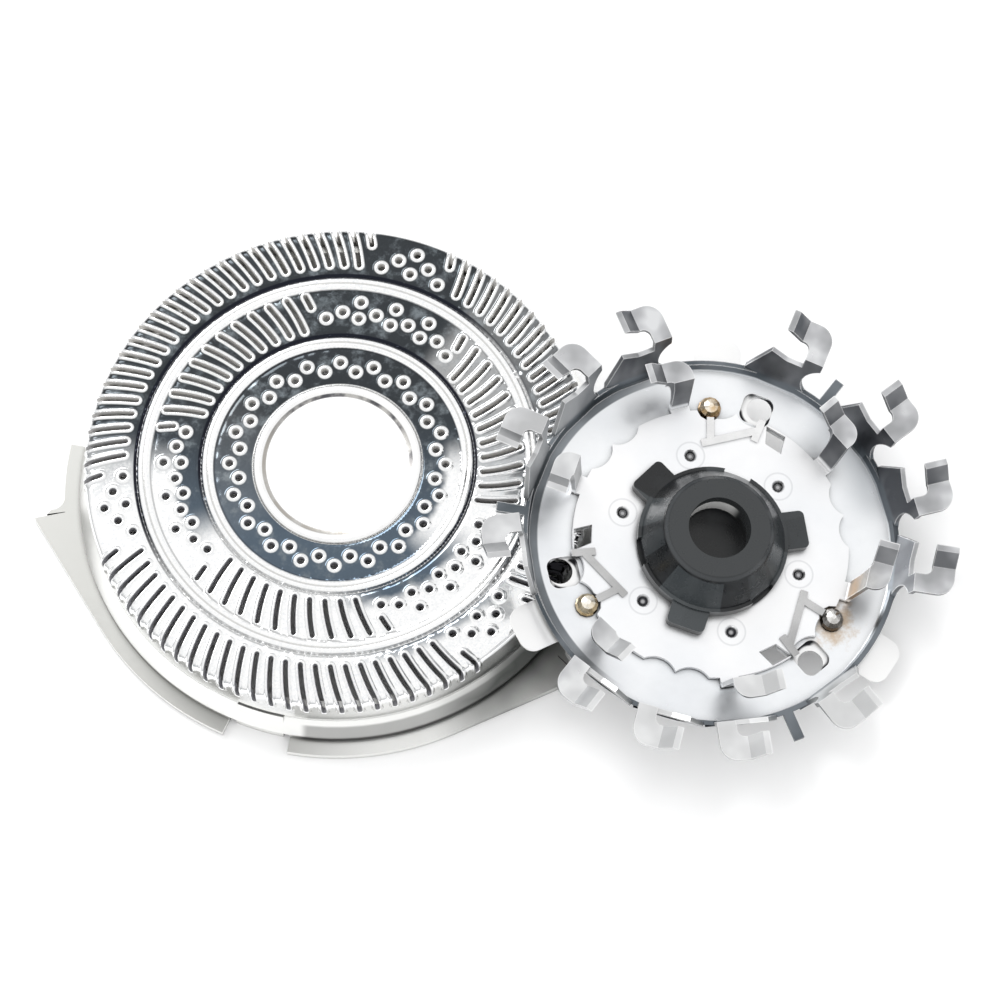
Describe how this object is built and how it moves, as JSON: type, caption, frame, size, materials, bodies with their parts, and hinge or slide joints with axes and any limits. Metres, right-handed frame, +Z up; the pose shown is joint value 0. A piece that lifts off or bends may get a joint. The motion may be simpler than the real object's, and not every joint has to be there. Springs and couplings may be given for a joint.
{
  "type": "rotary shaver head",
  "caption": "Rotary shaver head taken apart: a slotted round guard with an eared frame, and its hooked blade wheel leaning on the guard's edge.",
  "frame": {"origin": "bottom centre of the pair's footprint, on the surface they lie on", "axes": "+Z up, out of the guard's shaving face; the blade wheel lies on the +X side of the guard"},
  "size_m": [0.0504, 0.032, 0.0102],
  "materials": {
    "polished_steel": "mirror polished",
    "bezel_chrome": "polished",
    "silver_disc": "fine satin",
    "satin_frame": "satin",
    "cutter_steel": "satin, brighter on the ground blades",
    "plate_steel": "bright satin",
    "black_plastic": "semi-matte moulded",
    "rivet_brass": "polished, a little tarnished",
    "rivet_stained": "polished with a rust stain round it",
    "spring_steel": "bright"
  },
  "bodies": {
    "root": {"centre_bezel": "bezel_chrome", "centre_disc": "silver_disc", "centre_hub": "black_plastic", "centring_bush": "black_plastic", "drive_coupling": "black_plastic", "eared_frame": "satin_frame", "float_spring_1": "spring_steel", "float_spring_2": "spring_steel", "float_spring_3": "spring_steel", "guard_cap": "polished_steel", "middle_cutter": "plate_steel", "outer_cutter": "cutter_steel", "rivet_1": "rivet_brass", "rivet_2": "rivet_brass", "rivet_3": "rivet_stained", "underlay_plate": "plate_steel"}
  },
  "joints": []
}
